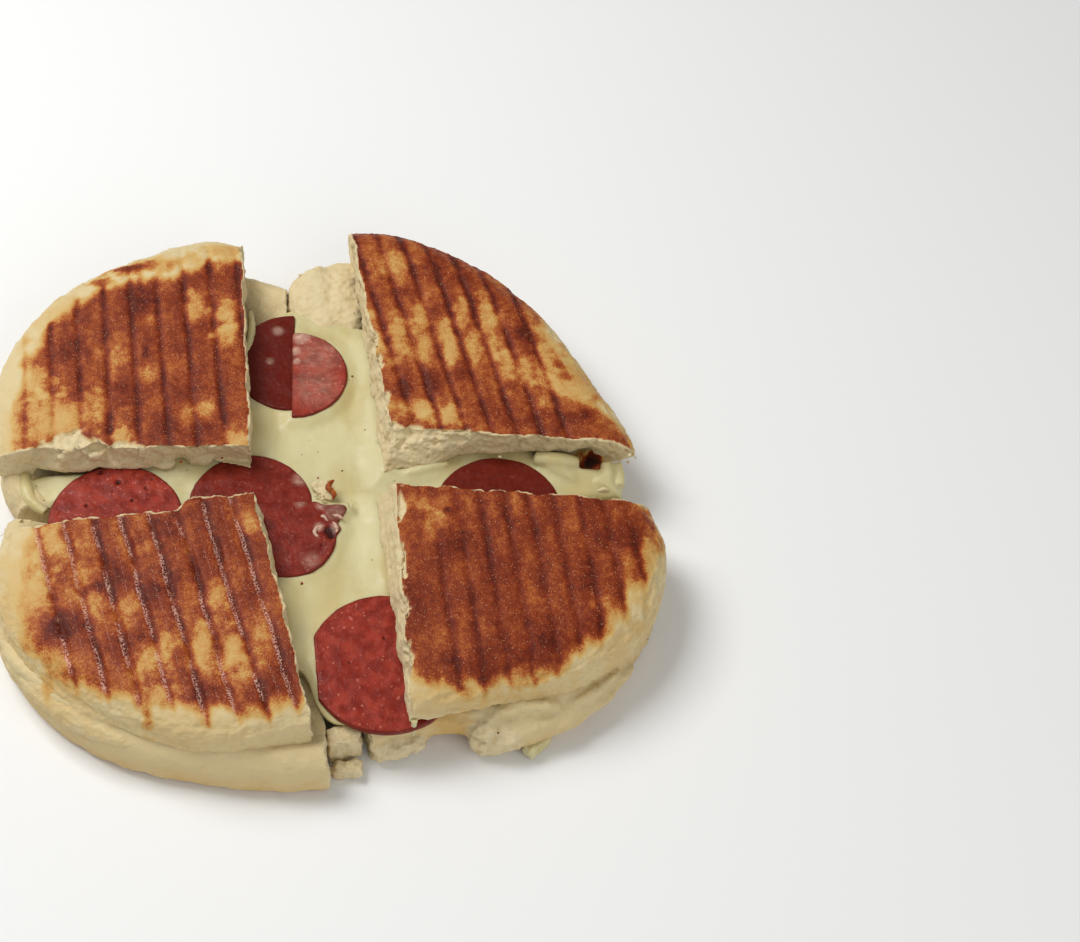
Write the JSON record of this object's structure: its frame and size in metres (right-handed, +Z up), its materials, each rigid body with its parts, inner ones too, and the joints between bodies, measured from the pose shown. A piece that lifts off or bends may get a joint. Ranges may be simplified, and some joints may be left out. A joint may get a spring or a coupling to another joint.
{
  "type": "filled flatbread toast",
  "caption": "Grilled round flatbread filled with melted cheese and sausage slices, cut into quarters that are pulled apart.",
  "frame": {"origin": "middle of the bounding box at the surface the bread stands on", "axes": "+Z up; -Y is the front, towards the viewer of the picture; +X to that viewer's right"},
  "size_m": [0.2206, 0.2082, 0.031],
  "materials": {
    "crust": "grilled brown crust with pale rim and white crumb on the cut faces",
    "white_bread": "soft pale bread, dry",
    "cheese": "smooth melted cheese, slightly wet",
    "sausage": "moist cut sausage with fine pale specks"
  },
  "bodies": {
    "root": {"bread_top_back_left": "crust", "bread_top_back_right": "crust", "bread_top_front_left": "crust", "bread_top_front_right": "crust", "bread_base_back_left": "white_bread", "bread_base_back_right": "white_bread", "bread_base_front_left": "white_bread", "bread_base_front_right": "white_bread", "crumb_bit_centre": "white_bread", "crumb_block_front": "white_bread", "crumb_chunk_front": "white_bread", "melted_cheese": "cheese", "cheese_drip_front_right": "cheese", "sausage_slice_left": "sausage", "sausage_slice_back_left_half": "sausage", "sausage_slice_back_right_half": "sausage", "sausage_slice_centre_back": "sausage", "sausage_slice_centre_front": "sausage", "sausage_slice_front": "sausage", "sausage_slice_right": "sausage"}
  },
  "joints": []
}
